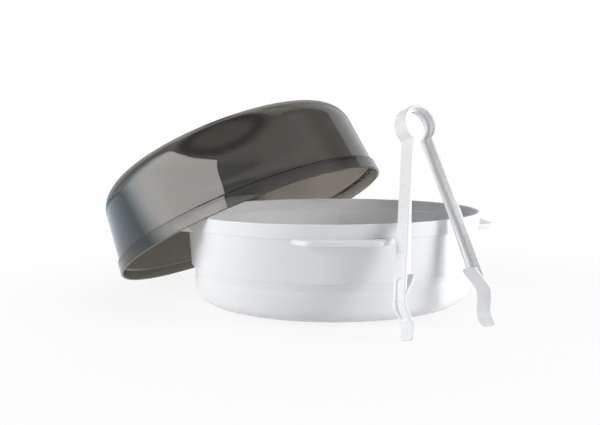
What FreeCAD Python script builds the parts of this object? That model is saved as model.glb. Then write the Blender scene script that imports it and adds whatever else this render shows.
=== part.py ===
"""Microwave steam steriliser for baby bottles: bowl, bottle rack, domed lid and tongs.

Millimetres. The origin is the centre of the bowl's flat foot, on the surface that it stands on.
+Z is up and -Y is the front. The lid leans on the bowl's left and the tongs lean on its front right.
"""
import FreeCAD, Part
import math
import os

Vector = FreeCAD.Vector

# Bowl
collar_radius = 140.0          # outside of the band under the rim
rim_height = 86.7              # rim above the foot
collar_height = 12.5
rim_wall = 2.3
body_top_radius = 138.3        # outside of the wall just under the collar
body_step_radius = 135.9       # outside of the wall just above the step
step_height = 37.8             # step in the wall, above the foot
step_drop = 6.7                # height of the rounded step
step_lip = 1.1                 # sharp edge of the wall over the step
lower_radius = 132.5           # outside of the wall under the step
bowl_wall = 2.2
bowl_floor = 2.6
foot_radius = 96.5
foot_slope_deg = 8.8           # underside between the foot and the corner
bottom_corner_radius = 16.0
foot_edge_radius = 12.0
rim_edge_radius = 0.9
collar_edge_radius = 0.5
wall_corner_radius = 0.4       # small roundings where walls meet
ledge_edge_radius = 0.6
step_lip_radius = 0.2
step_edge_radius = 0.5
step_cove_radius = 6.0

# Grip tabs under the collar
tab_count = 4
tab_turn_deg = 3.0             # the set is turned a little from the axes
tab_reach = 10.5               # beyond the collar
tab_root_width = 84.0
tab_tip_width = 60.0
tab_plate = 2.4
tab_rise = 0.8                 # top of a tab above the collar's lower edge
tab_lip_height = 4.7
tab_lip = 2.2
tab_corner_radius = 14.0

# Bottle rack on the inner ledge
rack_clearance = 0.7           # round the plate
rack_plate = 2.4
seat_count = 4
seat_circle_radius = 74.0
seat_turn_deg = 48.0
seat_bore_radius = 33.0        # inside of a seat's ring
seat_ring = 2.2
seat_ring_height = 10.0
seat_arcs = 4                  # each ring is broken into this many arcs
seat_arc_gap = 18.0
seat_hole_radius = 16.0
seat_spoke = 5.0
cut_margin = 1.0               # how far a cutter reaches past what it cuts
slot_width = 5.0
slot_inner_row = 103.0         # radii of the two rows of steam slots
slot_outer_row = 115.0
slot_to_seat = 2.0             # plate left between a slot and a seat's ring
slot_length_deg = 7.0
slots_per_row = 24
pin_count = 4
pin_circle_radius = 86.0
pin_base_radius = 6.0
pin_top_radius = 4.2
pin_height = 13.0
handle_width = 46.0
handle_thickness = 4.0
handle_height = 24.0
handle_hole_length = 30.0
handle_hole_height = 13.0
handle_corner_radius = 9.0

# Lid
lid_clearance = 0.6            # between the collar and the lid's band
lid_wall = 2.2
band_height = 12.1             # outside height of the band round the mouth
shoulder_inset = 2.8           # the wall stands in from the band by this much
lid_draft_deg = 5.0
lid_height = 84.8              # mouth to the edge of the top
lid_crown = 2.5                # rise of the top at its middle
lid_shoulder_radius = 26.0
lid_edge_radius = 0.3
grip_count = 2
grip_turn_deg = -82.5
grip_low = 48.0                # lowest point of a grip hollow, above the mouth
grip_lean_deg = 22.5           # slope of the hollow from the lid's axis
grip_hollow_radius = 150.0     # its curve up and down

# How the lid leans on the bowl
lid_lean_deg = 26.6
lid_side_deg = 149.7           # direction in which it leans
seat_gap = 0.3                 # clear space where it touches the bowl and the floor

# Tongs
tongs_width = 14.0
jaw_width = 16.0
bow_radius = 16.3              # outside of the spring bow
bow_wall = 2.2
bow_rib = 2.0                  # height of the rib inside the bow
arm_half_angle_deg = 14.7
arm_offset = 8.0               # outer face of an arm from the line through the bow's centre
arm_strip = 3.0
rib_thickness = 2.0
arm_depth_top = 5.5            # strip and rib together, next to the bow
arm_depth_end = 10.2           # and at the jaw
jaw_wall = 2.2
jaw_start = 123.5              # lengths along an arm from the bow's centre
jaw_bulge_at = 145.0
jaw_nip_at = 165.5
jaw_end = 173.6
jaw_start_offset = 0.3         # middle of the jaw's wall, measured outwards as arm_offset is
jaw_bulge = 6.8
jaw_nip = -2.4
jaw_tip = -1.7
jaw_tip_corner = 4.0
strip_end = 137.0              # where the arm's strip bends into the jaw
neck_length = 4.0              # length in which the rib rises under the bow
jaw_overlap = 2.0              # length of jaw inside the end of the arm
jaw_step = 1.5                 # spacing of the points that the jaw's curve runs through
tongs_side_deg = -58.0         # direction from the bowl's axis to the tongs
tongs_lean_deg = 15.3
tongs_gap = 0.5                # clear space between the arms' backs and the collar


def sine(degrees):
    return math.sin(math.radians(degrees))


def cosine(degrees):
    return math.cos(math.radians(degrees))


def tangent(degrees):
    return math.tan(math.radians(degrees))


def rounded_wire(corners):
    """A closed wire in the XZ plane through (x, z, corner radius) points."""
    count = len(corners)
    arcs = []
    for index, (x, z, radius) in enumerate(corners):
        corner = Vector(x, 0, z)
        before = Vector(corners[index - 1][0], 0, corners[index - 1][1]).sub(corner)
        after_x, after_z = corners[(index + 1) % count][:2]
        after = Vector(after_x, 0, after_z).sub(corner)
        reach = 0.49 * min(before.Length, after.Length)
        before.normalize()
        after.normalize()
        half_angle = before.getAngle(after) / 2
        setback = radius / math.tan(half_angle) if radius > 0 else 0
        if setback > reach:
            setback = reach
            radius = reach * math.tan(half_angle)
        start = corner.add(before * setback)
        end = corner.add(after * setback)
        if setback > 0:
            inward = before.add(after)
            inward.normalize()
            centre_distance = radius / math.sin(half_angle)
            middle = corner.add(inward * (centre_distance - radius))
            arcs.append((start, middle, end))
        else:
            arcs.append((start, None, end))
    edges = []
    for index, (start, middle, end) in enumerate(arcs):
        if middle is not None:
            edges.append(Part.Arc(start, middle, end).toShape())
        following = arcs[(index + 1) % count][0]
        if end.distanceToPoint(following) > 1e-6:
            edges.append(Part.LineSegment(end, following).toShape())
    return Part.Wire(edges)


def turned(corners):
    """A solid of revolution about Z from a closed outline of (radius, z, corner radius) points."""
    face = Part.Face(rounded_wire(corners))
    return face.revolve(Vector(0, 0, 0), Vector(0, 0, 1), 360)


def spun(shape, degrees):
    copy = shape.copy()
    copy.rotate(Vector(0, 0, 0), Vector(0, 0, 1), degrees)
    return copy


def ring_solid(inner, outer, low, high, centre=(0.0, 0.0)):
    place = Vector(centre[0], centre[1], low)
    outside = Part.makeCylinder(outer, high - low, place)
    return outside.cut(Part.makeCylinder(inner, high - low, place))


# Levels and radii that the pieces share
collar_low = rim_height - collar_height
rim_inner_radius = collar_radius - rim_wall
ledge_height = step_height + 0.35 * bowl_wall     # seat of the rack, inside the wall's step
upper_inner_radius = body_step_radius - bowl_wall
lower_inner_radius = lower_radius - bowl_wall
band_outer_radius = collar_radius + lid_clearance + lid_wall
band_inner_radius = collar_radius + lid_clearance
wall_lean = (body_top_radius - body_step_radius) / (collar_low - step_height)
rack_radius = upper_inner_radius - rack_clearance
rack_low = ledge_height
rack_top = rack_low + rack_plate


def base_bowl():
    """The white bowl: one moulding with a collar, a stepped wall, a broad foot and four grip tabs."""
    slope = tangent(foot_slope_deg)
    corner_rise = slope * (lower_radius - foot_radius)
    inner_slope_rise = slope * (lower_inner_radius - foot_radius)
    inner_top = collar_low + 0.5 * bowl_wall
    inner_top_radius = body_step_radius + wall_lean * (inner_top - step_height) - bowl_wall
    corners = [
        (0, 0, 0),
        (foot_radius, 0, foot_edge_radius),
        (lower_radius, corner_rise, bottom_corner_radius),
        (lower_radius, step_height - step_drop, step_cove_radius),
        (body_step_radius - step_lip, step_height - 0.2 * step_lip, step_lip_radius),
        (body_step_radius, step_height, step_edge_radius),
        (body_top_radius, collar_low, wall_corner_radius),
        (collar_radius, collar_low, collar_edge_radius),
        (collar_radius, rim_height, rim_edge_radius),
        (rim_inner_radius, rim_height, rim_edge_radius),
        (rim_inner_radius, inner_top, collar_edge_radius),
        (inner_top_radius, inner_top, collar_edge_radius),
        (upper_inner_radius, ledge_height, wall_corner_radius),
        (lower_inner_radius, ledge_height, ledge_edge_radius),
        (lower_inner_radius, bowl_floor + inner_slope_rise, bottom_corner_radius - bowl_wall),
        (foot_radius, bowl_floor, foot_edge_radius),
        (0, bowl_floor, 0),
    ]
    bowl = turned(corners)
    for index in range(tab_count):
        tab = spun(grip_tab(), tab_turn_deg + index * 360.0 / tab_count)
        bowl = bowl.fuse(tab)
    return bowl.removeSplitter()


def tab_outline(inset):
    """The tab's plan, drawn for the +X side, drawn in by inset from its free edges."""
    root = collar_radius
    tip = collar_radius + tab_reach - inset
    half_root = tab_root_width / 2 - inset
    half_tip = tab_tip_width / 2 - inset
    inner = lower_inner_radius - tab_reach
    points = [
        Vector(inner, -half_root, 0),
        Vector(root, -half_root, 0),
        Vector(tip, -half_tip, 0),
        Vector(tip, half_tip, 0),
        Vector(root, half_root, 0),
        Vector(inner, half_root, 0),
    ]
    return Part.Face(Part.makePolygon(points + points[:1]))


def grip_tab():
    """A flat tab with a lip turned down round its edge, trimmed to the outside of the wall."""
    block = tab_outline(0).extrude(Vector(0, 0, tab_lip_height))
    uprights = [edge for edge in block.Edges if is_free_corner(edge)]
    block = block.makeFillet(tab_corner_radius, uprights)
    under = tab_outline(tab_lip).extrude(Vector(0, 0, tab_lip_height - tab_plate))
    uprights = [edge for edge in under.Edges if is_free_corner(edge)]
    under = under.makeFillet(tab_corner_radius - tab_lip, uprights)
    tab = block.cut(under)
    tab.translate(Vector(0, 0, collar_low + tab_rise - tab_lip_height))
    height = collar_low + 2 * tab_rise - step_height
    low_radius = body_step_radius - bowl_wall / 2
    keep_out = Part.makeCone(low_radius, low_radius + wall_lean * height, height, Vector(0, 0, step_height))
    return tab.cut(keep_out)


def is_free_corner(edge):
    """True for an upright edge at the tab's tip."""
    low, high = edge.Vertexes[0].Point, edge.Vertexes[-1].Point
    upright = abs(low.x - high.x) < 1e-6 and abs(low.y - high.y) < 1e-6
    return upright and low.x > collar_radius


def bottle_rack():
    """The lift-out rack: a slotted plate on the ledge with ring seats, teat pins and a handle."""
    plate = Part.makeCylinder(rack_radius, rack_plate, Vector(0, 0, rack_low))
    rack = plate
    for index in range(seat_count):
        angle = seat_turn_deg + index * 360.0 / seat_count
        centre = (seat_circle_radius * cosine(angle), seat_circle_radius * sine(angle))
        rack = rack.fuse(seat_ring_arcs(centre, angle))
    rack = rack.fuse(rack_handle())
    for index in range(pin_count):
        angle = seat_turn_deg + (index + 0.5) * 360.0 / pin_count
        foot = Vector(pin_circle_radius * cosine(angle), pin_circle_radius * sine(angle), rack_top)
        rack = rack.fuse(Part.makeCone(pin_base_radius, pin_top_radius, pin_height, foot))
    rack = rack.removeSplitter()
    return rack.cut(Part.makeCompound(rack_holes()))


def seat_ring_arcs(centre, angle):
    """The upstand round one seat: a ring with gaps that let water run off and steam in."""
    outer = seat_bore_radius + seat_ring
    seat = ring_solid(seat_bore_radius, outer, 0, seat_ring_height)
    for index in range(seat_arcs // 2):
        reach = outer + cut_margin
        gap = Part.makeBox(2 * reach, seat_arc_gap, seat_ring_height, Vector(-reach, -seat_arc_gap / 2, 0))
        gap.rotate(Vector(0, 0, 0), Vector(0, 0, 1), angle + index * 360.0 / seat_arcs)
        seat = seat.cut(gap)
    seat.translate(Vector(centre[0], centre[1], rack_top))
    return seat


def rack_holes():
    """Steam holes: a spoked hole in each seat, and two rows of curved slots near the edge."""
    holes = []
    low = rack_low - cut_margin
    depth = rack_plate + 2 * cut_margin
    spoke_reach = seat_hole_radius + cut_margin
    for index in range(seat_count):
        angle = seat_turn_deg + index * 360.0 / seat_count
        place = Vector(seat_circle_radius * cosine(angle), seat_circle_radius * sine(angle), low)
        hole = Part.makeCylinder(seat_hole_radius, depth, place)
        for turn in (angle, angle + 90):
            corner = Vector(-spoke_reach, -seat_spoke / 2, low)
            bar = Part.makeBox(2 * spoke_reach, seat_spoke, depth, corner)
            bar.rotate(Vector(0, 0, 0), Vector(0, 0, 1), turn)
            bar.translate(Vector(place.x, place.y, 0))
            hole = hole.cut(bar)
        holes.extend(hole.Solids)
    seat_room = seat_bore_radius + seat_ring + slot_to_seat
    for row, radius in enumerate((slot_inner_row, slot_outer_row)):
        for index in range(slots_per_row):
            angle = (index + 0.5 * row) * 360.0 / slots_per_row
            if clear_of_seats(radius, angle, seat_room):
                holes.append(curved_slot(radius, angle, low, depth))
    return holes


def clear_of_seats(radius, angle, room):
    """True where a slot's ends and middle keep off every seat ring."""
    for index in range(seat_count):
        seat_angle = seat_turn_deg + index * 360.0 / seat_count
        for part in (-0.5, 0, 0.5):
            point = angle + part * slot_length_deg
            across = radius * cosine(point) - seat_circle_radius * cosine(seat_angle)
            along = radius * sine(point) - seat_circle_radius * sine(seat_angle)
            if math.hypot(across, along) < room + slot_width / 2:
                return False
    return True


def curved_slot(radius, angle, low, depth):
    """A slot along a circle about the axis, with round ends."""
    band = ring_solid(radius - slot_width / 2, radius + slot_width / 2, low, low + depth)
    half = slot_length_deg / 2
    far = radius + slot_width
    wedge = Part.makePolygon([Vector(0, 0, low), Vector(far * cosine(half), -far * sine(half), low),
                              Vector(far * cosine(half), far * sine(half), low), Vector(0, 0, low)])
    slot = band.common(Part.Face(wedge).extrude(Vector(0, 0, depth)))
    for end in (-half, half):
        place = Vector(radius * cosine(end), radius * sine(end), low)
        slot = slot.fuse(Part.makeCylinder(slot_width / 2, depth, place))
    return spun(slot.removeSplitter(), angle)


def rack_handle():
    """An upright loop in the middle of the rack, for two fingers."""
    half = handle_width / 2
    top = rack_top + handle_height
    outline = [(-half, rack_top, 0), (half, rack_top, 0),
               (half, top, handle_corner_radius), (-half, top, handle_corner_radius)]
    loop = Part.Face(rounded_wire(outline)).extrude(Vector(0, handle_thickness, 0))
    hole_half = handle_hole_length / 2
    hole_top = top - (handle_height - handle_hole_height) / 2
    hole_low = hole_top - handle_hole_height
    radius = 0.48 * handle_hole_height
    hole_outline = [(-hole_half, hole_low, radius), (hole_half, hole_low, radius),
                    (hole_half, hole_top, radius), (-hole_half, hole_top, radius)]
    hole = Part.Face(rounded_wire(hole_outline)).extrude(Vector(0, handle_thickness, 0))
    loop = loop.cut(hole)
    loop.translate(Vector(0, -handle_thickness / 2, 0))
    loop.rotate(Vector(0, 0, 0), Vector(0, 0, 1), seat_turn_deg + 180.0 / seat_count)
    return loop


def lid_body(inset):
    """The lid's outer form, or with an inset of one wall, the space inside its dome."""
    wall_radius = band_outer_radius - shoulder_inset - inset
    edge = lid_shoulder_radius - inset
    top = lid_height - inset
    top_radius = wall_radius - (lid_height - band_height) * tangent(lid_draft_deg)
    crown_radius = 0.2 * top_radius
    corners = [
        (0, 0, 0),
        (wall_radius + band_height * tangent(lid_draft_deg), 0, 0),
        (top_radius, top, edge),
        (0.6 * top_radius, top + 0.6 * lid_crown, 8 * edge),
        (crown_radius, top + lid_crown, 8 * edge),
        (0, top + lid_crown, 0),
    ]
    return turned(corners)


def grip_cutter(inset):
    """The round-backed tool that hollows a finger grip into the lid's shoulder, at +X."""
    wall_radius = band_outer_radius - shoulder_inset - (grip_low - band_height) * tangent(lid_draft_deg)
    radius = grip_hollow_radius + inset
    depth_direction = Vector(cosine(grip_lean_deg), 0, sine(grip_lean_deg))
    along = Vector(-sine(grip_lean_deg), 0, cosine(grip_lean_deg))
    middle = Vector(wall_radius, 0, grip_low).add(along * (0.5 * grip_span()))
    sag = radius - math.sqrt(radius ** 2 - (0.5 * grip_span()) ** 2)
    centre = middle.add(depth_direction * (radius - sag - inset))
    length = 2 * band_outer_radius
    return Part.makeCylinder(radius, length, Vector(centre.x, -length / 2, centre.z), Vector(0, 1, 0))


def grip_span():
    """Length of the hollow up the shoulder."""
    return (lid_height - grip_low) / cosine(grip_lean_deg)


def lid():
    """The smoke-tinted dome: one moulding with a band round the mouth and two finger hollows."""
    outside = lid_body(0)
    inside = lid_body(lid_wall)
    for index in range(grip_count):
        turn = grip_turn_deg + index * 360.0 / grip_count
        outside = outside.cut(spun(grip_cutter(0), turn))
        inside = inside.cut(spun(grip_cutter(lid_wall), turn))
    band = turned([
        (0, 0, 0),
        (band_outer_radius, 0, lid_edge_radius),
        (band_outer_radius, band_height, lid_edge_radius),
        (0, band_height, 0),
    ])
    mouth = Part.makeCylinder(band_inner_radius, band_height - lid_wall)
    shell = outside.fuse(band).cut(inside).cut(mouth)
    shell = shell.removeSplitter()
    return leaned_lid(shell)


def leaned_lid(shape):
    """Puts the lid where it rests: mouth edge on the floor and across the collar's outer edge."""
    lean_sine = sine(lid_lean_deg)
    mouth_height = seat_gap + band_outer_radius * lean_sine
    uphill = (rim_height - mouth_height) / lean_sine
    half_chord = math.sqrt(band_inner_radius ** 2 - uphill ** 2)
    chord_distance = math.sqrt((collar_radius + seat_gap) ** 2 - half_chord ** 2)
    centre_distance = chord_distance + uphill * cosine(lid_lean_deg)
    placed = shape.copy()
    hinge = Vector(-sine(lid_side_deg), cosine(lid_side_deg), 0)
    placed.rotate(Vector(0, 0, 0), hinge, lid_lean_deg)
    placed.translate(Vector(centre_distance * cosine(lid_side_deg),
                            centre_distance * sine(lid_side_deg), mouth_height))
    return placed


# The tongs are drawn in their own plane: x across, z up from the tips, y from front to back.
bow_height = jaw_end * cosine(arm_half_angle_deg) - (jaw_tip - jaw_wall / 2) * sine(arm_half_angle_deg)
strip_inner = arm_offset - arm_strip
outer_neck_along = math.sqrt(bow_radius ** 2 - arm_offset ** 2)
inner_neck_along = math.sqrt((bow_radius - bow_wall) ** 2 - strip_inner ** 2)


def arm_point(along, outwards):
    """A point of the right arm: along it from the bow's centre, and outwards from its line."""
    x = along * sine(arm_half_angle_deg) + outwards * cosine(arm_half_angle_deg)
    z = bow_height - along * cosine(arm_half_angle_deg) + outwards * sine(arm_half_angle_deg)
    return Vector(x, 0, z)


def jaw_offset(along):
    """Middle of the jaw's wall: out from the channel to the bulge, in to the nip, out at the tip."""
    stations = [(jaw_start, jaw_start_offset), (jaw_bulge_at, jaw_bulge),
                (jaw_nip_at, jaw_nip), (jaw_end, jaw_tip)]
    for (low, start), (high, end) in zip(stations, stations[1:]):
        if along <= high:
            part = max(0.0, (along - low) / (high - low))
            return start + (end - start) * (1 - math.cos(math.pi * part)) / 2
    return jaw_tip


def jaw_line(low, high, side):
    """Points along the jaw from low to high: its middle, or a face with side 1 or -1."""
    count = max(2, round(abs(high - low) / jaw_step))
    points = []
    for index in range(count + 1):
        along = low + (high - low) * index / count
        rise = (jaw_offset(along + 0.5) - jaw_offset(along - 0.5))
        length = math.hypot(1.0, rise)
        step = side * jaw_wall / 2
        points.append(arm_point(along - step * rise / length, jaw_offset(along) + step / length))
    return points


def across(face_points, width):
    """A plate of the given width across the tongs from an outline in their plane."""
    plate = Part.Face(Part.makePolygon(face_points + face_points[:1])).extrude(Vector(0, width, 0))
    plate.translate(Vector(0, -width / 2, 0))
    return plate


def right_arm():
    """One arm of the tongs: a flat strip with a rib along its inside, which ends in a curved jaw."""
    outer_line = [arm_point(outer_neck_along, arm_offset), arm_point(strip_end, arm_offset)]
    neck = arm_point(inner_neck_along, strip_inner)
    strip = outer_line + jaw_line(jaw_bulge_at + jaw_overlap, strip_end, 0) + [neck]
    rib = outer_line + jaw_line(jaw_bulge_at + jaw_overlap, jaw_start, 0)
    rib += [arm_point(jaw_start, arm_offset - arm_depth_end),
            arm_point(inner_neck_along + neck_length, arm_offset - arm_depth_top),
            neck.add(neck.sub(outer_line[0]) * (bow_rib / arm_strip))]
    return across(strip, tongs_width).fuse(across(rib, rib_thickness)).fuse(jaw()).removeSplitter()


def jaw():
    """The curved jaw plate at the end of an arm, of one wall thickness."""
    outer = jaw_line(jaw_start, jaw_end, 1)
    inner = jaw_line(jaw_start, jaw_end, -1)
    outer_curve = Part.BSplineCurve()
    outer_curve.interpolate(outer)
    inner_curve = Part.BSplineCurve()
    inner_curve.interpolate(inner[::-1])
    edges = [outer_curve.toShape(), Part.LineSegment(outer[-1], inner[-1]).toShape(),
             inner_curve.toShape(), Part.LineSegment(inner[0], outer[0]).toShape()]
    plate = Part.Face(Part.Wire(edges)).extrude(Vector(0, jaw_width, 0))
    plate.translate(Vector(0, -jaw_width / 2, 0))
    tip = arm_point(jaw_end, jaw_tip)
    corners = []
    for edge in plate.Edges:
        middle = edge.CenterOfMass
        crosswise = abs(abs(middle.y) - jaw_width / 2) < 1e-6
        if crosswise and edge.Length < 1.5 * jaw_wall and middle.distanceToPoint(tip) < jaw_width:
            corners.append(edge)
    return plate.makeFillet(jaw_tip_corner, corners)


def mirrored(shape):
    return shape.mirror(Vector(0, 0, 0), Vector(1, 0, 0))


def spring_bow():
    """The sprung ring at the top that joins the two arms, ribbed inside and open at the bottom."""
    strip_radius = bow_radius - bow_wall
    ring = bow_ring(bow_radius, strip_radius, tongs_width).fuse(
        bow_ring(strip_radius + bow_wall / 2, strip_radius - bow_rib, rib_thickness))
    outer_neck = arm_point(outer_neck_along, arm_offset)
    inner_neck = arm_point(inner_neck_along, strip_inner)
    beyond = outer_neck.sub(inner_neck)
    far_outer = outer_neck.add(beyond)
    far_inner = inner_neck.sub(beyond)
    low = bow_height - 2 * bow_radius
    opening = [far_outer, far_inner, mirror_point(far_inner), mirror_point(far_outer),
               Vector(-far_outer.x, 0, low), Vector(far_outer.x, 0, low)]
    return ring.cut(across(opening, tongs_width)).removeSplitter()


def bow_ring(outer, inner, width):
    """A full ring of the bow, of the given width from front to back."""
    centre = Vector(0, -width / 2, bow_height)
    ring = Part.makeCylinder(outer, width, centre, Vector(0, 1, 0))
    return ring.cut(Part.makeCylinder(inner, width, centre, Vector(0, 1, 0)))


def mirror_point(point):
    return Vector(-point.x, point.y, point.z)


def leaned_tongs(shape):
    """Stands the tongs on their tips in front of the bowl, leaned back towards the collar."""
    back = tongs_width / 2
    lean = tongs_lean_deg
    lift = (jaw_width / 2 - jaw_tip_corner) * sine(lean) + jaw_tip_corner * (1 - cosine(lean))
    base_distance = (collar_radius + tongs_gap + back * cosine(lean)
                     + (rim_height - lift + back * sine(lean)) * tangent(lean))
    placed = shape.copy()
    placed.rotate(Vector(0, 0, 0), Vector(1, 0, 0), -lean)
    placed.rotate(Vector(0, 0, 0), Vector(0, 0, 1), tongs_side_deg + 90.0)
    placed.translate(Vector(base_distance * cosine(tongs_side_deg),
                            base_distance * sine(tongs_side_deg), lift))
    return placed


def main():
    nodes = {
        "base_bowl": base_bowl(),
        "bottle_rack": bottle_rack(),
        "lid": lid(),
        "tongs_left_arm": leaned_tongs(mirrored(right_arm())),
        "tongs_bow": leaned_tongs(spring_bow()),
        "tongs_right_arm": leaned_tongs(right_arm()),
    }
    os.makedirs("parts", exist_ok=True)
    for name, shape in nodes.items():
        box = shape.BoundBox
        print(f"{name}: {len(shape.Solids)} solid, valid {shape.isValid()}, {shape.Volume / 1000:.1f} cm3, "
              f"x {box.XMin:.1f} to {box.XMax:.1f}, y {box.YMin:.1f} to {box.YMax:.1f}, "
              f"z {box.ZMin:.2f} to {box.ZMax:.1f}")
        shape.exportStep(f"parts/{name}.step")


main()
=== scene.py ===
"""Microwave bottle steriliser: a white bowl, a rack, a smoke-tinted lid and spring tongs."""
import bpy
import bmesh
import math
from mathutils import Matrix, Vector


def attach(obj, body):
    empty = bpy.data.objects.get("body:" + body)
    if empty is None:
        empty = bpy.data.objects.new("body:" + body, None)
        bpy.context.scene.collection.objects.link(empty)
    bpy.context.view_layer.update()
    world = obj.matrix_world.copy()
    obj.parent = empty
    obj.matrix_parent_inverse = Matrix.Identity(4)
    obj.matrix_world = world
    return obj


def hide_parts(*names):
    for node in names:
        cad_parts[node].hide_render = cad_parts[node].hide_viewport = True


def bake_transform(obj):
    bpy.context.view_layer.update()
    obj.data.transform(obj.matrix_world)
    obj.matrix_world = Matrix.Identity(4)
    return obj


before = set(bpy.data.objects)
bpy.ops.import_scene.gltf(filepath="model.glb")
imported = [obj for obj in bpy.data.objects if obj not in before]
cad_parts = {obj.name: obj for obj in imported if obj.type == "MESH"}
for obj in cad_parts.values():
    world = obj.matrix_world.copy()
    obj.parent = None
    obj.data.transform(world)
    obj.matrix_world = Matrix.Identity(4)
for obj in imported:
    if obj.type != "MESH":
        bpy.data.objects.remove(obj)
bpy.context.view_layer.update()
mm = 0.001

# The camera: a 44 mm lens at the height of the lid's shoulder, in front of the set, looking
# down a little.
camera_place = Vector((-0.00734, -0.7190, 0.15057))
camera_yaw = -0.033
camera_pitch = 0.093
camera_roll = -0.006
forward = Vector((math.sin(camera_yaw) * math.cos(camera_pitch),
                  math.cos(camera_yaw) * math.cos(camera_pitch),
                  -math.sin(camera_pitch)))
level_right = Vector((math.cos(camera_yaw), -math.sin(camera_yaw), 0))
level_up = level_right.cross(forward)
camera_right = math.cos(camera_roll) * level_right + math.sin(camera_roll) * level_up
camera_up = -math.sin(camera_roll) * level_right + math.cos(camera_roll) * level_up
camera = bpy.data.objects.new("camera", bpy.data.cameras.new("camera"))
bpy.context.scene.collection.objects.link(camera)
camera.data.sensor_width = 36
camera.data.lens = 44.42
camera.data.clip_start = 0.01
turn = Matrix((camera_right, camera_up, -forward)).transposed()
camera.matrix_world = Matrix.Translation(camera_place) @ turn.to_4x4()
bpy.context.scene.camera = camera
bpy.context.scene.view_settings.view_transform = "Standard"


# The studio: a white floor that keeps a soft shadow, a white surround, a soft lamp on each side
# and one overhead that light the set, and two boards that only show as reflections.
class Reading:
    """A socket's number, written in sums and products. Each operation adds one Math node."""

    def __init__(self, finish, socket):
        self.finish = finish
        self.socket = socket

    def math(self, operation, *others):
        inputs = dict(enumerate((self,) + others))
        return self.finish.read("ShaderNodeMath", {"operation": operation}, inputs)

    def __add__(self, other):
        return self.math("ADD", other)

    __radd__ = __add__

    def __mul__(self, other):
        return self.math("MULTIPLY", other)

    __rmul__ = __mul__

    def __sub__(self, other):
        return self.math("SUBTRACT", other)

    def __rsub__(self, other):
        return self.math("MULTIPLY", -1.0).math("ADD", other)

    def at_most(self, other):
        return self.math("MINIMUM", other)

    def step(self, low, high):
        """0 below low, 1 above high and a smooth rise between them."""
        settings = {"interpolation_type": "SMOOTHSTEP"}
        return self.finish.read("ShaderNodeMapRange", settings, {0: self, 1: low, 2: high})


class Finish:
    """A material under construction. One method adds any node and sets or links its sockets."""

    def __init__(self, name, data=None):
        if data is None:
            data = bpy.data.materials.new(name)
            data.use_nodes = True
        self.data = data
        self.tree = data.node_tree
        self.tree.nodes.clear()

    def node(self, kind, settings=None, inputs=None):
        made = self.tree.nodes.new(kind)
        for key, value in (settings or {}).items():
            setattr(made, key, value)
        for key, value in (inputs or {}).items():
            value = getattr(value, "socket", value)
            if isinstance(value, bpy.types.NodeSocket):
                self.tree.links.new(value, made.inputs[key])
            else:
                made.inputs[key].default_value = value
        return made

    def read(self, kind, settings=None, inputs=None, output=0):
        return Reading(self, self.node(kind, settings, inputs).outputs[output])

    def readings(self, kind, inputs, *outputs):
        """One reading for each of the named outputs of a new node."""
        made = self.node(kind, None, inputs)
        return [Reading(self, made.outputs[output]) for output in outputs]

    def noise(self, place, scale, detail=2.0):
        inputs = {"Vector": place, "Scale": scale, "Detail": detail}
        return self.read("ShaderNodeTexNoise", None, inputs)

    def colours(self, amount, low, high):
        inputs = {0: amount, 6: (*low, 1), 7: (*high, 1)}
        return self.read("ShaderNodeMix", {"data_type": "RGBA"}, inputs, 2)

    def surface(self, shader):
        self.node("ShaderNodeOutputMaterial", None, {"Surface": shader.outputs[0]})

    def mixed_surface(self, amount, first, second):
        """Shows the first shader where amount is 0 and the second where it is 1."""
        inputs = {0: amount, 1: first.outputs[0], 2: second.outputs[0]}
        self.surface(self.node("ShaderNodeMixShader", None, inputs))


studio_floor_radius = 6.0
floor_rim_points = 64
floor_shading = 0.13                # share of the floor's own shading that shows around the set
floor_shading_fades = (0.16, 0.50)  # distances from the middle between which it fades out
lid_shading = 0.85                  # the same, where the floor is seen through the lid
lid_shading_fades = (0.22, 0.42)
shade_under_lid = 0.6               # how much the floor on the lid's side darkens through the lid
shade_at_back = 0.6                 # how much the far floor on that side darkens in reflections
floor_finish = Finish("studio_floor")
floor_place = floor_finish.read("ShaderNodeTexCoord", None, None, "Object")
floor_far = floor_finish.read("ShaderNodeVectorMath", {"operation": "LENGTH"},
                              {0: floor_place}, "Value")
in_view, in_gloss, through_lid = floor_finish.readings(
    "ShaderNodeLightPath", None, "Is Camera Ray", "Is Glossy Ray", "Is Transmission Ray")
floor_side, floor_back = floor_finish.readings(
    "ShaderNodeSeparateXYZ", {0: floor_place}, "X", "Y")
seen = (in_view + in_gloss).at_most(1.0)
around_set = 1 - floor_shading + floor_shading * floor_far.step(*floor_shading_fades)
behind_lid = 1 - lid_shading + lid_shading * floor_far.step(*lid_shading_fades)
whitening = (seen * around_set + through_lid * behind_lid).at_most(1.0)
under_lid = through_lid * (1 - floor_side.step(-0.25, 0.0))
beside_lid = in_gloss * (0 - floor_side).step(0.30, 0.55)
far_back = floor_back.step(0.45, 0.85)
glow_colour = floor_finish.colours(beside_lid, (1, 1, 1), (0.95, 1.15, 1.28))
glow_strength = ((1 - shade_at_back * beside_lid * far_back)
                 * (1 - shade_under_lid * under_lid))
floor_cloth = floor_finish.node("ShaderNodeBsdfDiffuse", None, {"Color": (0.90, 0.90, 0.90, 1)})
floor_glow = floor_finish.node("ShaderNodeEmission", None, {
    "Color": glow_colour, "Strength": glow_strength})
floor_finish.mixed_surface(whitening, floor_cloth, floor_glow)
floor_mesh = bpy.data.meshes.new("studio_floor")
floor_turns = [math.tau * index / floor_rim_points for index in range(floor_rim_points)]
floor_rim = [(studio_floor_radius * math.cos(turned), studio_floor_radius * math.sin(turned), 0)
             for turned in floor_turns]
floor_mesh.from_pydata(floor_rim, [], [list(range(floor_rim_points))])
floor_mesh.materials.append(floor_finish.data)
floor = bpy.data.objects.new("studio_floor", floor_mesh)
bpy.context.scene.collection.objects.link(floor)

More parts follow.
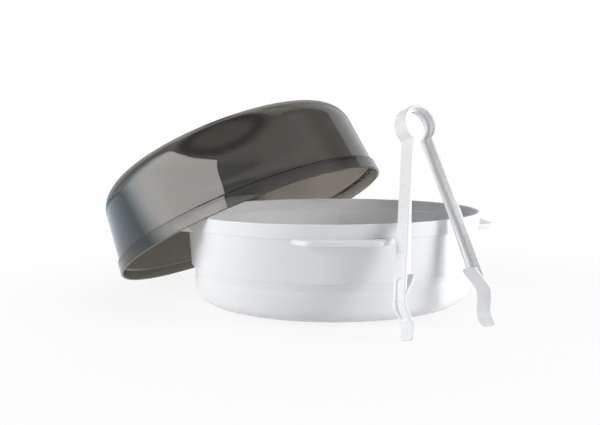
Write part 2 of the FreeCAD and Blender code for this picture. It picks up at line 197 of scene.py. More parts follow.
surround_light = 0.19       # the surround's brightness where it only lights the set
mirrored_light = 0.75       # what is added to it in reflections, less in three darker parts:
dark_side_shade = 0.80      # to the right, from east round to 42 degrees north of it,
overhead_shade = 0.6        # overhead,
dark_patch_shade = 0.75     # and in a patch up at the back
dark_side_end = math.radians(42.0)
dark_patch_middle = (-0.383, 0.821, 0.423)
world = bpy.data.worlds.new("studio_surround")
bpy.context.scene.world = world
world.use_nodes = True
surround = Finish("studio_surround", world)
in_view, in_gloss, through_lid = surround.readings(
    "ShaderNodeLightPath", None, "Is Camera Ray", "Is Glossy Ray", "Is Transmission Ray")
seen = (in_view + through_lid).at_most(1.0)
direction = surround.read("ShaderNodeTexCoord", None, None, "Generated")
east, north, height = surround.readings("ShaderNodeSeparateXYZ", {0: direction}, "X", "Y", "Z")
past_dark_side = math.cos(dark_side_end) * north - math.sin(dark_side_end) * east
dark_side = north.step(-0.05, 0.35) * (1 - past_dark_side.step(-0.02, 0.02))
overhead = height.step(0.75, 0.92)
dark_patch = sum(part * axis for part, axis in zip(dark_patch_middle, (east, north, height)))
dark_patch = dark_patch.step(0.70, 0.82)
mirrored = ((1 - dark_side_shade * dark_side) * (1 - overhead_shade * overhead)
            * (1 - dark_patch_shade * dark_patch))
brightness = surround_light + (1 - surround_light) * seen + mirrored_light * in_gloss * mirrored
sky = surround.colours(seen, (0.965, 0.995, 1.035), (1, 1, 1))
backdrop = surround.node("ShaderNodeBackground", None, {
    "Color": sky, "Strength": brightness.at_most(1.0)})
surround.node("ShaderNodeOutputWorld", None, {"Surface": backdrop.outputs[0]})


def facing(place, target):
    """Where a lamp or a board stands, with its face turned to target."""
    direction = Vector(target) - Vector(place)
    return Matrix.Translation(place) @ direction.to_track_quat("-Z", "Y").to_matrix().to_4x4()


def soft_lamp(name, place, target, width, height, power, colour=(1, 1, 1)):
    """A rectangular lamp that lights the set and isn't mirrored in it."""
    lamp = bpy.data.lights.new(name, "AREA")
    lamp.shape = "RECTANGLE"
    lamp.size = width
    lamp.size_y = height
    lamp.energy = power
    lamp.color = colour
    shade = bpy.data.objects.new(name, lamp)
    bpy.context.scene.collection.objects.link(shade)
    shade.matrix_world = facing(place, target)
    shade.visible_glossy = False


def glow_board(name, place, target, width, height, glow, fade_start, fade_end):
    """A lit board that only shows in reflections. It fades to its left and to the floor."""
    dimmest = 0.14
    cool, warm = (0.80, 0.98, 1.06), (1.0, 0.975, 0.95)
    finish = Finish(name)
    in_gloss = finish.read("ShaderNodeLightPath", None, None, "Is Glossy Ray")
    across, up = finish.readings("ShaderNodeSeparateXYZ", {
        0: finish.read("ShaderNodeTexCoord", None, None, "Object")}, "X", "Y")
    off_floor = up.step(-place[2] - 0.04, -place[2] + 0.15)
    full = across.step(fade_start, fade_end) * off_floor
    hidden = finish.node("ShaderNodeBsdfTransparent")
    lit = finish.node("ShaderNodeEmission", None, {
        "Color": finish.colours(full, cool, warm),
        "Strength": glow * (dimmest + (1 - dimmest) * full)})
    finish.mixed_surface(in_gloss, hidden, lit)
    mesh = bpy.data.meshes.new(name)
    half_width, half_height = width / 2, height / 2
    mesh.from_pydata([(-half_width, -half_height, 0), (half_width, -half_height, 0),
                      (half_width, half_height, 0), (-half_width, half_height, 0)],
                     [], [[0, 1, 2, 3]])
    mesh.materials.append(finish.data)
    board = bpy.data.objects.new(name, mesh)
    bpy.context.scene.collection.objects.link(board)
    board.matrix_world = facing(place, target)


soft_lamp("lamp_left", (-1.20, -0.35, 0.38), (-0.05, 0.0, 0.05),
          width=0.6, height=0.65, power=10.4)
soft_lamp("lamp_right", (1.20, -0.45, 0.38), (0.05, 0.0, 0.05),
          width=0.6, height=0.65, power=12.2)
soft_lamp("lamp_above", (0.1, 0.35, 1.5), (0.0, 0.0, 0.05),
          width=0.9, height=0.7, power=6.5, colour=(0.86, 0.95, 1.0))
glow_board("board_left", (-0.838, -0.266, 0.42), (-0.218, 0.154, 0.42),
           width=1.60, height=0.95, glow=6.4, fade_start=-0.78, fade_end=0.12)
glow_board("board_right", (1.05, -0.45, 0.20), (0.05, 0.0, 0.12),
           width=0.70, height=0.36, glow=3.0, fade_start=-0.35, fade_end=-0.34)


# The bowl: one white polypropylene moulding with a collar, a stepped wall, a broad foot and a
# draft that lets it leave the mould. It is satin, with the fine ripple of a moulded surface.
collar_radius = 140.0
rim_height = 86.7
collar_low = 74.2
rim_inner_radius = 137.7
body_top_radius = 138.3
body_step_radius = 135.9
step_height = 37.8
step_drop = 6.7
step_lip = 1.1
lower_radius = 132.5
bowl_wall = 2.2
bowl_floor = 2.6
foot_radius = 96.5
foot_slope = math.tan(math.radians(8.8))
ledge_height = step_height + 0.35 * bowl_wall


def softened(corners, fineness=7):
    """Points of an open line in millimetres from (across, up, corner radius) corners."""
    points = []
    for index, (across, up, radius) in enumerate(corners):
        corner = Vector((across, up))
        if radius <= 0 or index in (0, len(corners) - 1):
            points.append(corner)
            continue
        back = Vector(corners[index - 1][:2]) - corner
        ahead = Vector(corners[index + 1][:2]) - corner
        reach = 0.49 * min(back.length, ahead.length)
        half = back.angle(ahead) / 2
        setback = min(radius / math.tan(half), reach)
        radius = setback * math.tan(half)
        back.normalize()
        ahead.normalize()
        centre = corner + (back + ahead).normalized() * (radius / math.sin(half))
        start = corner + back * setback - centre
        end = corner + ahead * setback - centre
        sweep = start.angle_signed(end)
        steps = max(2, round(abs(sweep) / (math.pi / 2) * fineness))
        for step in range(steps + 1):
            angle = -sweep * step / steps
            c, s = math.cos(angle), math.sin(angle)
            points.append(centre + Vector((c * start.x - s * start.y, s * start.x + c * start.y)))
    return points


def shown(name, mesh, finish, body, slot, *nodes):
    """Links a finished mesh as a piece that rides on a body, unless the body is None."""
    mesh.materials.append(finish.data)
    mesh.shade_smooth()
    piece = bpy.data.objects.new(name, mesh)
    bpy.context.scene.collection.objects.link(piece)
    if nodes:
        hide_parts(*nodes)
    if body:
        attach(piece, body)
    return piece


def evened(piece):
    """Lets large faces set the shading, so that flat walls stay flat beside their rounded edges."""
    weights = piece.modifiers.new("flat_faces_lead", "WEIGHTED_NORMAL")
    weights.keep_sharp = True
    weights.weight = 80


def skinned(shape, rings):
    """Faces between neighbouring rings, one to each corner. A ring of one corner makes a fan."""
    for low, high in zip(rings, rings[1:]):
        count = len(high) if len(low) == 1 else len(low)
        for index in range(count):
            following = (index + 1) % count
            if len(low) == 1:
                shape.faces.new((low[0], high[following], high[index]))
            elif len(high) == 1:
                shape.faces.new((low[index], low[following], high[0]))
            else:
                shape.faces.new((low[index], low[following], high[following], high[index]))


def finished_mesh(name, shape):
    """Ends a shape under construction: its faces are turned outwards and kept as a mesh."""
    bmesh.ops.recalc_face_normals(shape, faces=shape.faces)
    mesh = bpy.data.meshes.new(name)
    shape.to_mesh(mesh)
    shape.free()
    return mesh


def turned_mesh(name, outline, turns=288):
    """An outline of (radius, height) points in millimetres, turned about the upright axis."""
    shape = bmesh.new()
    rings = []
    for radius, height in outline:
        count = turns if radius > 1e-6 else 1
        angles = [math.tau * index / count for index in range(count)]
        rings.append([shape.verts.new((radius * mm * math.cos(angle),
                                       radius * mm * math.sin(angle), height * mm))
                      for angle in angles])
    skinned(shape, rings)
    return finished_mesh(name, shape)


def moulded_white(name, colour, roughness, grain):
    """White moulded plastic: a faint cloud of colour, a ripple in the gloss and a fine grain."""
    finish = Finish(name)
    place = finish.read("ShaderNodeTexCoord", None, None, "Object")
    cloud = finish.noise(place, 9.0, 3.0)
    ripple = finish.noise(place, 55.0)
    fine = finish.noise(place, 900.0)
    deeper = [0.985 * part for part in colour]
    paler = [min(1.0, 1.01 * part) for part in colour]
    relief = finish.read("ShaderNodeBump", None, {
        "Height": 0.7 * ripple + grain * fine, "Strength": 0.05, "Distance": 0.0006})
    finish.surface(finish.node("ShaderNodeBsdfPrincipled", None, {
        "Base Color": finish.colours(cloud, deeper, paler),
        "Roughness": roughness * (0.85 + 0.20 * ripple + 0.12 * fine),
        "Normal": relief, "IOR": 1.49,
        "Subsurface Weight": 0.10, "Subsurface Radius": (0.004, 0.004, 0.0035)}))
    return finish


bowl_white = moulded_white("bowl_white", (0.86, 0.862, 0.885), 0.24, 0.3)
wall_lean = (body_top_radius - body_step_radius) / (collar_low - step_height)
shelf_height = collar_low + 0.5 * bowl_wall
shelf_radius = body_step_radius + wall_lean * (shelf_height - step_height) - bowl_wall
lower_inner_radius = lower_radius - bowl_wall
upper_inner_radius = body_step_radius - bowl_wall
bowl_outline = softened([
    (0, 0, 0),
    (foot_radius, 0, 12.0),
    (lower_radius, foot_slope * (lower_radius - foot_radius), 16.0),
    (lower_radius, step_height - step_drop, 6.0),
    (body_step_radius - step_lip, step_height - 0.2 * step_lip, 0.2),
    (body_step_radius, step_height, 0.5),
    (body_top_radius, collar_low, 0.4),
    (collar_radius, collar_low, 0.5),
    (collar_radius, rim_height, 0.9),
    (rim_inner_radius, rim_height, 0.9),
    (rim_inner_radius, shelf_height, 0.5),
    (shelf_radius, shelf_height, 0.5),
    (upper_inner_radius, ledge_height, 0.4),
    (lower_inner_radius, ledge_height, 0.6),
    (lower_inner_radius, bowl_floor + foot_slope * (lower_inner_radius - foot_radius), 13.8),
    (foot_radius, bowl_floor, 12.0),
    (0, bowl_floor, 0),
])
bowl = shown("bowl", turned_mesh("bowl", bowl_outline), bowl_white, "bowl", "white_plastic",
             "base_bowl")
evened(bowl)


# The grip tabs: four flat lugs moulded on under the collar, each a thin plate with a lip turned
# down round its free edge, as finger grips for the hot bowl.
tab_turn = 3.0
tab_tip = collar_radius + 10.5
tab_half_root = 42.0
tab_half_tip = 30.0
tab_corner = 14.0
tab_root_radius = 137.2
tab_root_steps = 12
tab_top = collar_low + 0.8
tab_lip_low = tab_top - 4.7
tab_plate = 2.4
tab_lip = 2.2


def lofted(shape, loops):
    """Skins a row of closed loops of points and closes both ends."""
    rings = [[shape.verts.new(point) for point in loop] for loop in loops]
    skinned(shape, rings)
    shape.faces.new(rings[0][::-1])
    shape.faces.new(rings[-1])


def tab_loop(inset, height, spin):
    """One loop of a tab's edge at a height, drawn in by inset from the free edges."""
    half_root = tab_half_root - inset
    half_tip = tab_half_tip - inset
    tip = tab_tip - inset
    corner = tab_corner - inset
    root_across = math.sqrt(tab_root_radius ** 2 - half_root ** 2)
    loop = softened([(root_across, -half_root, 0), (tip, -half_tip, corner),
                     (tip, half_tip, corner), (root_across, half_root, 0)], fineness=14)
    arc = math.asin(half_root / tab_root_radius)
    for step in range(1, tab_root_steps):
        angle = arc * (1 - 2 * step / tab_root_steps)
        loop.append(tab_root_radius * Vector((math.cos(angle), math.sin(angle))))
    return [spin @ (Vector((point.x, point.y, height)) * mm) for point in loop]


tabs_shape = bmesh.new()
for number in range(4):
    spin = Matrix.Rotation(math.radians(tab_turn + 90 * number), 4, "Z")
    # From the plate's underside down inside the lip, round its edge and up outside to the top.
    lofted(tabs_shape, [tab_loop(inset, height, spin) for inset, height in (
        (tab_lip + 0.5, tab_top - tab_plate),
        (tab_lip, tab_top - tab_plate - 0.4),
        (tab_lip, tab_lip_low + 0.5),
        (tab_lip - 0.5, tab_lip_low),
        (0.7, tab_lip_low),
        (0.15, tab_lip_low + 0.25),
        (0.0, tab_lip_low + 0.8),
        (0.0, tab_top - 1.3),
        (0.12, tab_top - 0.75),
        (0.45, tab_top - 0.25),
        (1.1, tab_top),
    )])
grip_tabs = shown("grip_tabs", finished_mesh("grip_tabs", tabs_shape), bowl_white, "bowl",
                  "white_plastic")
evened(grip_tabs)


# The lid: one smoke-tinted clear moulding. A band round the mouth stands out past the wall and
# slips over the bowl's collar, and two hollows in the shoulder give the fingers a grip.
lid_clearance = 0.6
lid_wall = 2.2
band_height = 12.1
band_outer_radius = collar_radius + lid_clearance + lid_wall
band_inner_radius = collar_radius + lid_clearance
band_draft = 0.9
shoulder_inset = 2.8
lid_draft = math.tan(math.radians(5.0))
lid_height = 84.8
lid_crown = 2.5
lid_shoulder_radius = 26.0
lid_turns = 360
lid_spacing = 2.5
grip_turn = -82.5
grip_low = 48.0
grip_lean = math.radians(22.5)
grip_hollow_radius = 150.0
grip_softness = 1.0            # how softly the dome turns into a hollow
grip_ring_depth = 2.2          # the ring of painted shade in a hollow: how far in it lies
grip_ring_width = 1.9
lid_lean = math.radians(26.6)
lid_side = math.radians(149.7)
seat_gap = 0.3
shade_reach = 0.9              # how far above and below the band's top the painted shade reaches, where the thick plastic looks dark
shade_radius = 138.5           # and from which radius outwards
step_line_height = 1.3         # the line of painted shade over the band
step_line_bearing = -30.0      # where round the lid it is darkest, in degrees,
step_line_end = 120.0          # how far from there it has faded
step_line_fade = 60.0          # and over how many degrees it fades
step_line_least = 0.12
# The colour of the shade painted into the lid.
painted_shade_colour = (0.02, 0.02, 0.022, 1)


def lid_outline(inset):
    """The dome's wall, shoulder and crown, from the mouth to the axis, drawn in by inset."""
    wall_radius = band_outer_radius - shoulder_inset - inset
    top_radius = wall_radius - (lid_height - band_height) * lid_draft
    edge = lid_shoulder_radius - inset
    start = band_height + (0 if inset == 0 else -lid_wall)
    return [
        (wall_radius + (band_height - start) * lid_draft, start, 0),
        (top_radius, lid_height - inset, edge),
        (0.6 * top_radius, lid_height - inset + 0.6 * lid_crown, 8 * edge),
        (0.2 * top_radius, lid_height - inset + lid_crown, 8 * edge),
        (0, lid_height - inset + lid_crown, 0),
    ]


def spread(points, spacing):
    """The same line of points with more of them, no further apart than spacing."""
    dense = [points[0]]
    for low, high in zip(points, points[1:]):
        count = max(1, math.ceil((high - low).length / spacing))
        for step in range(1, count + 1):
            dense.append(low.lerp(high, step / count))
    return dense


def hollowed(point, inset):
    """A point of the dome, moved in where one of the two grip hollows takes the shoulder away.

    With it comes how near it is to the ring inside the hollow's edge, from 0 to 1."""
    span = (lid_height - grip_low) / math.cos(grip_lean)
    wall_radius = band_outer_radius - shoulder_inset - (grip_low - band_height) * lid_draft
    radius = grip_hollow_radius + inset
    outwards = Vector((math.cos(grip_lean), math.sin(grip_lean)))
    upwards = Vector((-math.sin(grip_lean), math.cos(grip_lean)))
    middle = Vector((wall_radius, grip_low)) + upwards * (0.5 * span)
    sag = radius - math.sqrt(radius ** 2 - (0.5 * span) ** 2)
    centre = middle + outwards * (radius - sag - inset)
    for side in (0, math.pi):
        angle = math.radians(grip_turn) + side
        across = point.x * math.cos(angle) + point.y * math.sin(angle)
        along = -point.x * math.sin(angle) + point.y * math.cos(angle)
        flat = Vector((across, point.z))
        offset = flat - centre
        height_along = offset.dot(upwards)
        if across < 0 or abs(height_along) >= radius:
            continue
        over = offset.dot(outwards) + math.sqrt(radius ** 2 - height_along ** 2)
        ring = math.exp(-((over - grip_ring_depth) / grip_ring_width) ** 2)
        flat -= outwards * grip_softness * math.log1p(math.exp(over / grip_softness))
        return Vector((flat.x * math.cos(angle) - along * math.sin(angle),
                       flat.x * math.sin(angle) + along * math.cos(angle), flat.y)), ring
    return point, 0.0


dome_outside = spread(softened(lid_outline(0), fineness=16), lid_spacing)
dome_inside = spread(softened(lid_outline(lid_wall), fineness=16), lid_spacing)
first_rise = dome_outside[1].y - dome_outside[0].y
# Two more points close together give the painted shade line a sharp upper edge.
dome_outside[1:1] = [dome_outside[0].lerp(dome_outside[1], up / first_rise)
                     for up in (step_line_height - 0.1, step_line_height + 0.15)]
mouth_outline = softened([
    (lid_outline(lid_wall)[0][0], band_height - lid_wall, 0),
    (band_inner_radius, band_height - lid_wall, 0.5),
    (band_inner_radius, 0, 0.7),
    (band_outer_radius, 0, 0.7),
    (band_outer_radius - band_draft, band_height, 0.3),
    (lid_outline(0)[0][0], band_height, 0),
], fineness=6)
profile = [(point, lid_wall) for point in dome_inside[::-1]]
profile += [(point, None) for point in mouth_outline[1:-1]]
profile += [(point, 0.0) for point in dome_outside]
lid_shape = bmesh.new()
lid_rings = []
painted_corner_shade = []
painted_step_shade = []
for point, inset in profile:
    count = lid_turns if point.x > 1e-6 else 1
    ring = []
    for index in range(count):
        angle = math.tau * index / count
        place = Vector((point.x * math.cos(angle), point.x * math.sin(angle), point.y))
        # Painted shade: the tint darkens at the band's top and in each grip hollow's ring, where
        # the thick plastic looks dark.
        painted_shade = 0.0
        if place.xy.length > shade_radius:
            painted_shade = math.exp(-((place.z - band_height) / shade_reach) ** 2)
        # A line of painted shade over the band, darkest at one bearing round the lid.
        darkness = 0.0
        if inset == 0.0 and place.z < band_height + step_line_height:
            away = abs((math.degrees(angle) - step_line_bearing + 180) % 360 - 180)
            darkness = min(1.0, max(step_line_least, (step_line_end - away) / step_line_fade))
        if inset is not None and count > 1:
            place, ring_shade = hollowed(place, inset)
            painted_shade = max(ring_shade, painted_shade)
        painted_corner_shade.append(painted_shade)
        painted_step_shade.append(darkness)
        ring.append(lid_shape.verts.new(place * mm))
    lid_rings.append(ring)
skinned(lid_shape, lid_rings)
mouth_height = seat_gap + band_outer_radius * math.sin(lid_lean)
uphill = (rim_height - mouth_height) / math.sin(lid_lean)
half_chord = math.sqrt(band_inner_radius ** 2 - uphill ** 2)
chord_distance = math.sqrt((collar_radius + seat_gap) ** 2 - half_chord ** 2)
centre_distance = chord_distance + uphill * math.cos(lid_lean)
lid_axis = Vector((-math.sin(lid_side), math.cos(lid_side), 0))
lid_place = Matrix.Translation(Vector((centre_distance * math.cos(lid_side),
                                       centre_distance * math.sin(lid_side), mouth_height)) * mm)
lid_place = lid_place @ Matrix.Rotation(lid_lean, 4, lid_axis)
bmesh.ops.transform(lid_shape, matrix=lid_place, verts=lid_shape.verts)
lid_mesh = finished_mesh("lid_dome", lid_shape)
for label, values in (("painted_corner_shade", painted_corner_shade), ("painted_step_shade", painted_step_shade)):
    lid_mesh.attributes.new(label, "FLOAT", "POINT").data.foreach_set("value", values)

smoke = Finish("smoke_tint")
place = smoke.read("ShaderNodeTexCoord", None, None, "Object")
drift = smoke.noise(place, 7.0)
ripple = smoke.noise(place, 40.0)
corner = smoke.read("ShaderNodeAttribute", {"attribute_name": "painted_corner_shade"}, None, "Fac")
line = smoke.read("ShaderNodeAttribute", {"attribute_name": "painted_step_shade"}, None, "Fac")
thin_tint = smoke.colours(drift, (0.206, 0.190, 0.162), (0.222, 0.206, 0.176))
# The tint is mixed towards the painted shade colour at the band's top and in the hollows' rings.
tint = smoke.read("ShaderNodeMix", {"data_type": "RGBA"},
                  {0: 0.85 * corner, 6: thin_tint, 7: painted_shade_colour}, 2)
relief = smoke.read("ShaderNodeBump", None, {
    "Height": ripple, "Strength": 0.04, "Distance": 0.0008})
clear_smoke = smoke.node("ShaderNodeBsdfPrincipled", None, {
    "Base Color": tint, "Roughness": 0.008 + 0.02 * ripple, "Normal": relief, "IOR": 1.49,
    "Transmission Weight": 1.0})
# A dark matte surface, mixed in as the painted shade line over the band.
step_shade_surface = smoke.node("ShaderNodeBsdfDiffuse", None, {"Color": painted_shade_colour})
smoke.mixed_surface(0.9 * line, clear_smoke, step_shade_surface)
lid_dome = shown("lid_dome", lid_mesh, smoke, "lid", "smoke_plastic", "lid")
evened(lid_dome)


# The rack: a white polypropylene plate that lifts out of the bowl, with seats in arcs for four
# upturned bottles, pins for teats, two rows of steam slots and an upright loop handle.
rack_white = moulded_white("rack_white", (0.84, 0.85, 0.865), 0.30, 0.5)
rack_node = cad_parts["bottle_rack"]
rack_node.data.materials.clear()
rack_node.data.materials.append(rack_white.data)


# The tongs' arms: with the bow they are one white polypropylene moulding. Each arm is a flat
# strip with a rib along its inside that deepens towards a curved jaw.
tongs_width = 14.0
jaw_width = 16.0
bow_radius = 16.3
bow_wall = 2.2
bow_rib = 2.0
arm_lean = math.radians(14.7)
arm_offset = 8.0
arm_strip = 3.0
arm_edge = 0.9
rib_thickness = 2.0
rib_round = 0.4
arm_depth_top = 5.5
arm_depth_end = 10.2
neck_length = 4.0
strip_end = 137.0              # where the strip starts to run out on the jaw's back,
strip_run_out = 10.0           # over this length,
strip_end_offset = 6.7         # towards this distance from the arm's line
jaw_wall = 2.2
jaw_edge = 0.8
jaw_start = 123.5
jaw_start_corner = 1.5
jaw_end = 173.6
jaw_tip_corner = 4.0
jaw_stations = ((jaw_start, 0.3), (145.0, 6.8), (165.5, -2.4), (jaw_end, -1.7))
jaw_steps = 110
recess_middle = 143.0
recess_half_length = 16.0
recess_half_width = 4.3
recess_depth = 1.4
recess_edge = 0.6
edge_steps = 6
hidden_trim = 0.05             # how much narrower a piece is where it runs on inside another
sharp_angle = math.radians(50)
tongs_side = math.radians(-58.0)
tongs_lean = math.radians(15.3)
tongs_gap = 0.5
tongs_white = moulded_white("tongs_white", (0.90, 0.90, 0.905), 0.32, 0.5)
tongs_lift = ((jaw_width / 2 - jaw_tip_corner) * math.sin(tongs_lean)
              + jaw_tip_corner * (1 - math.cos(tongs_lean)))
bow_height = (jaw_end * math.cos(arm_lean)
              - (jaw_stations[-1][1] - jaw_wall / 2) * math.sin(arm_lean))
tongs_distance = (collar_radius + tongs_gap + tongs_width / 2 * math.cos(tongs_lean)
                  + (rim_height - tongs_lift + tongs_width / 2 * math.sin(tongs_lean))
                  * math.tan(tongs_lean))
tongs_place = (Matrix.Translation(Vector((tongs_distance * math.cos(tongs_side),
                                          tongs_distance * math.sin(tongs_side),
                                          tongs_lift)) * mm)
               @ Matrix.Rotation(tongs_side + math.pi / 2, 4, "Z")
               @ Matrix.Rotation(-tongs_lean, 4, "X"))
bow_inner = bow_radius - bow_wall
outer_neck = math.sqrt(bow_radius ** 2 - arm_offset ** 2)
inner_neck = math.sqrt(bow_inner ** 2 - (arm_offset - arm_strip) ** 2)


def arm_place(along, outwards, through, side):
    """A point of one arm: along it from the bow's centre, outwards from its line, front to back."""
    across = along * math.sin(arm_lean) + outwards * math.cos(arm_lean)
    up = bow_height - along * math.cos(arm_lean) + outwards * math.sin(arm_lean)
    return tongs_place @ (Vector((side * across, through, up)) * mm)


def jaw_offset(along):
    """Middle of the jaw's wall: out from the arm to the bulge, in to the nip, out at the tip."""
    for (low, start), (high, end) in zip(jaw_stations, jaw_stations[1:]):
        if along <= high:
            part = max(0.0, (along - low) / (high - low))
            return start + (end - start) * (1 - math.cos(math.pi * part)) / 2
    return jaw_stations[-1][1]


def finger_recess(along, through):
    """Depth of the blind oval recess in the back of a jaw."""
    past_middle = max(0.0, abs(along - recess_middle) - (recess_half_length - recess_half_width))
    inside = recess_half_width - math.hypot(past_middle, through)
    part = min(1.0, max(0.0, inside / recess_edge))
    return recess_depth * part * part * (3 - 2 * part)


def face_row(outer, half, count, recess):
    """Points across an outer face as (outwards, through), sunk where there is a recess."""
    row = [half * (2 * index / count - 1) for index in range(count + 1)]
    return [(outer - recess(through), through) for through in row]


def quarter_round(outwards, through, edge, quarter, steps):
    """Points of one quarter of a rounded edge about its centre."""
    angles = [math.pi / 2 * (quarter + step / edge_steps) for step in steps]
    return [(outwards + edge * math.cos(angle), through + edge * math.sin(angle))
            for angle in angles]


def jaw_section(half, recess):
    """Loop of the jaw plate's section: its outer face and four rounded edges."""
    out, reach = jaw_wall / 2 - jaw_edge, half - jaw_edge
    loop = face_row(jaw_wall / 2, reach, 28, recess)
    loop += quarter_round(out, reach, jaw_edge, 0, range(1, edge_steps + 1))
    loop += quarter_round(-out, reach, jaw_edge, 1, range(edge_steps + 1))
    loop += quarter_round(-out, -reach, jaw_edge, 2, range(edge_steps + 1))
    return loop + quarter_round(out, -reach, jaw_edge, 3, range(edge_steps))


def ribbed_section(outer, strip, depth, half, recess):
    """Loop of a ribbed strip's section: the outer face, then round by the rib and back."""
    edge = min(arm_edge, 0.45 * strip)
    rib = rib_thickness / 2
    rib_height = max(0.05, depth - strip)
    root = min(rib_round, 0.4 * rib_height)
    under = outer - strip
    side = quarter_round(outer - edge, half - edge, edge, 0, range(1, edge_steps + 1))
    side += quarter_round(under + edge, half - edge, edge, 1, range(edge_steps + 1))
    side += [(under, rib + root), (under - 0.3 * root, rib + 0.3 * root), (under - root, rib),
             (under - rib_height + root, rib),
             (under - rib_height + 0.3 * root, rib - 0.3 * root),
             (under - rib_height, rib - root)]
    far_side = [(outwards, -through) for outwards, through in side[::-1]]
    return face_row(outer, half - edge, 24, recess) + side + far_side


def corner_cut(distance, corner):
    """How much narrower a plate is at a distance from its end, for a round corner."""
    inwards = corner - max(distance, 0.02)
    return corner - math.sqrt(corner ** 2 - inwards ** 2) if distance < corner else 0.0


def arm_mesh(name, side):
    """One arm: the ribbed strip from the bow to the jaw, and the curved jaw plate."""
    shape = bmesh.new()
    # The stations are close at the neck, where the jaw starts and along the oval recess.
    stations = [inner_neck - 1.0, inner_neck - 0.5] + [inner_neck + 0.6 * n for n in range(8)]
    stations += [18.5 + 2.0 * n for n in range(53)] + [jaw_start - 0.02, jaw_start + 0.02]
    stations += [124.0 + 0.5 * n for n in range(43)]
    strip_loops = []
    for along in stations:
        past_neck = (along - inner_neck - neck_length) / (jaw_start - inner_neck - neck_length)
        depth = arm_depth_top + (arm_depth_end - arm_depth_top) * max(0.0, past_neck)
        if past_neck < 0:
            rise = max(0.0, (along - inner_neck) / neck_length)
            depth = arm_strip + bow_rib + (arm_depth_top - arm_strip - bow_rib) * rise
        outer, strip, half = arm_offset, arm_strip, tongs_width / 2
        if along < inner_neck:
            strip = arm_offset - math.sqrt(bow_inner ** 2 - along ** 2)
            half -= hidden_trim
        if along > strip_end:
            outer -= (along - strip_end) / strip_run_out * (arm_offset - strip_end_offset)
            strip = min(strip, max(0.3, outer - jaw_offset(along)))
        if along > jaw_start:
            depth = min(arm_depth_end, outer - jaw_offset(along))
        strip_loops.append([
            arm_place(along, outwards, through, side) for outwards, through in
            ribbed_section(outer, strip, depth, half, lambda y: finger_recess(along, y))])
    lofted(shape, strip_loops)
    jaw_loops = []
    for index in range(jaw_steps + 1):
        along = jaw_start + (jaw_end - jaw_start) * index / jaw_steps
        rise = jaw_offset(along + 0.5) - jaw_offset(along - 0.5)
        length = math.hypot(1.0, rise)
        half = jaw_width / 2 - corner_cut(jaw_end - along, jaw_tip_corner)
        half -= corner_cut(along - jaw_start, jaw_start_corner)
        jaw_loops.append([
            arm_place(along - outwards * rise / length, jaw_offset(along) + outwards / length,
                      through, side)
            for outwards, through in jaw_section(half, lambda y: finger_recess(along, y))])
    lofted(shape, jaw_loops)
    mesh = finished_mesh(name, shape)
    mesh.set_sharp_from_angle(angle=sharp_angle)
    return mesh


left_arm = shown("tongs_arm_left", arm_mesh("tongs_arm_left", -1), tongs_white, "tongs",
                 "tongs_plastic", "tongs_left_arm")
right_arm = shown("tongs_arm_right", arm_mesh("tongs_arm_right", 1), tongs_white, "tongs_right",
                  "tongs_plastic", "tongs_right_arm")
evened(left_arm)
evened(right_arm)


# The raised marks: two rows of low dots and short bars that are moulded on the left arm's outer
# face, in the same white plastic.
mark_height = 0.5


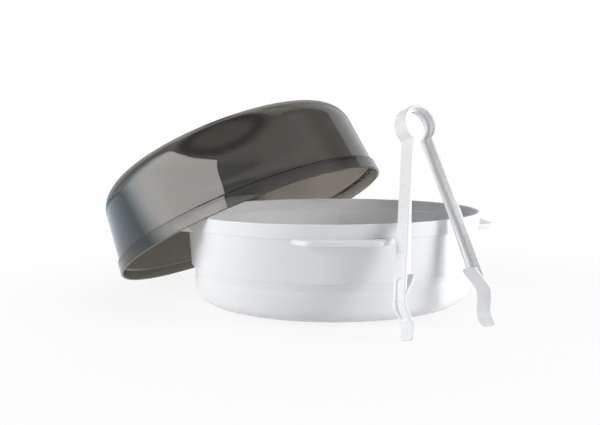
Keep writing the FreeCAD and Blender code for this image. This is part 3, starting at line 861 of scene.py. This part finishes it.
def raised_marks(name, first, spacing, count, through, half_length, half_width):
    """A row of marks down the left arm, set out by a node group and kept as a mesh."""
    group = bpy.data.node_groups.new(name, "GeometryNodeTree")
    group.interface.new_socket("Geometry", in_out="OUTPUT", socket_type="NodeSocketGeometry")
    count_socket = group.interface.new_socket("Count", in_out="INPUT",
                                              socket_type="NodeSocketInt")
    entry = group.nodes.new("NodeGroupInput")
    line = group.nodes.new("GeometryNodeMeshLine")
    line.inputs["Offset"].default_value = (0, 0, -spacing * mm)
    group.links.new(entry.outputs["Count"], line.inputs["Count"])
    bead = group.nodes.new("GeometryNodeMeshUVSphere")
    bead.inputs["Segments"].default_value = 20
    bead.inputs["Rings"].default_value = 10
    bead.inputs["Radius"].default_value = mm
    placed = group.nodes.new("GeometryNodeInstanceOnPoints")
    placed.inputs["Scale"].default_value = (mark_height, half_length, half_width)
    group.links.new(line.outputs[0], placed.inputs["Points"])
    group.links.new(bead.outputs[0], placed.inputs["Instance"])
    solid = group.nodes.new("GeometryNodeRealizeInstances")
    group.links.new(placed.outputs[0], solid.inputs[0])
    coloured = group.nodes.new("GeometryNodeSetMaterial")
    coloured.inputs["Material"].default_value = tongs_white.data
    group.links.new(solid.outputs[0], coloured.inputs[0])
    leave = group.nodes.new("NodeGroupOutput")
    group.links.new(coloured.outputs[0], leave.inputs[0])
    carrier = bpy.data.objects.new(name, bpy.data.meshes.new(name))
    bpy.context.scene.collection.objects.link(carrier)
    nodes = carrier.modifiers.new("marks", "NODES")
    nodes.node_group = group
    nodes[count_socket.identifier] = count
    bpy.context.view_layer.update()
    made = carrier.evaluated_get(bpy.context.evaluated_depsgraph_get())
    mesh = bpy.data.meshes.new_from_object(made)
    bpy.data.objects.remove(carrier)
    # The row is made upright and then laid along the arm, with its height outwards.
    start = arm_place(first, arm_offset, through, -1)
    down = (arm_place(first + 100, arm_offset, through, -1) - start).normalized()
    outwards = (arm_place(first, arm_offset + 100, through, -1) - start).normalized()
    laid = Matrix((outwards, outwards.cross(down), -down)).transposed()
    mesh.transform(Matrix.Translation(start) @ laid.to_4x4())
    return mesh


mark_dots = raised_marks("mark_dots", first=56.0, spacing=4.6, count=12, through=-2.6,
                         half_length=0.75, half_width=0.75)
shown("tongs_mark_dots", mark_dots, tongs_white, "tongs", "tongs_plastic")
mark_bars = raised_marks("mark_bars", first=51.4, spacing=9.2, count=7, through=1.6,
                         half_length=2.2, half_width=0.6)
shown("tongs_mark_bars", mark_bars, tongs_white, "tongs", "tongs_plastic")


# The bow: the sprung ring that joins the arms at the top, ribbed inside like them. It is part of
# the same moulding.
bow_steps = 112
bow_reach_in = 0.15            # how far the ring runs on inside each arm, in radians
bow_start = math.atan2(math.cos(arm_lean) * outer_neck - math.sin(arm_lean) * arm_offset,
                       math.sin(arm_lean) * outer_neck + math.cos(arm_lean) * arm_offset)
bow_sweep = math.pi + 2 * bow_start
bow_shape = bmesh.new()
bow_loops = []
for index in range(bow_steps + 1):
    turned = -bow_reach_in + (bow_sweep + 2 * bow_reach_in) * index / bow_steps
    angle = turned - bow_start
    half = tongs_width / 2 - (hidden_trim if turned < 0 or turned > bow_sweep else 0.0)
    bow_loops.append([
        tongs_place @ (Vector((reach * math.cos(angle), through,
                               bow_height + reach * math.sin(angle))) * mm)
        for reach, through in
        ribbed_section(bow_radius, bow_wall, bow_wall + bow_rib, half, lambda y: 0.0)])
lofted(bow_shape, bow_loops)
bow_mesh = finished_mesh("spring_bow", bow_shape)
bow_mesh.set_sharp_from_angle(angle=sharp_angle)
spring_bow = shown("spring_bow", bow_mesh, tongs_white, None, "tongs_plastic", "tongs_bow")
tuple(arm_place(outer_neck, arm_offset, 0, -1))
tuple(arm_place(outer_neck, arm_offset, 0, 1))
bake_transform(spring_bow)
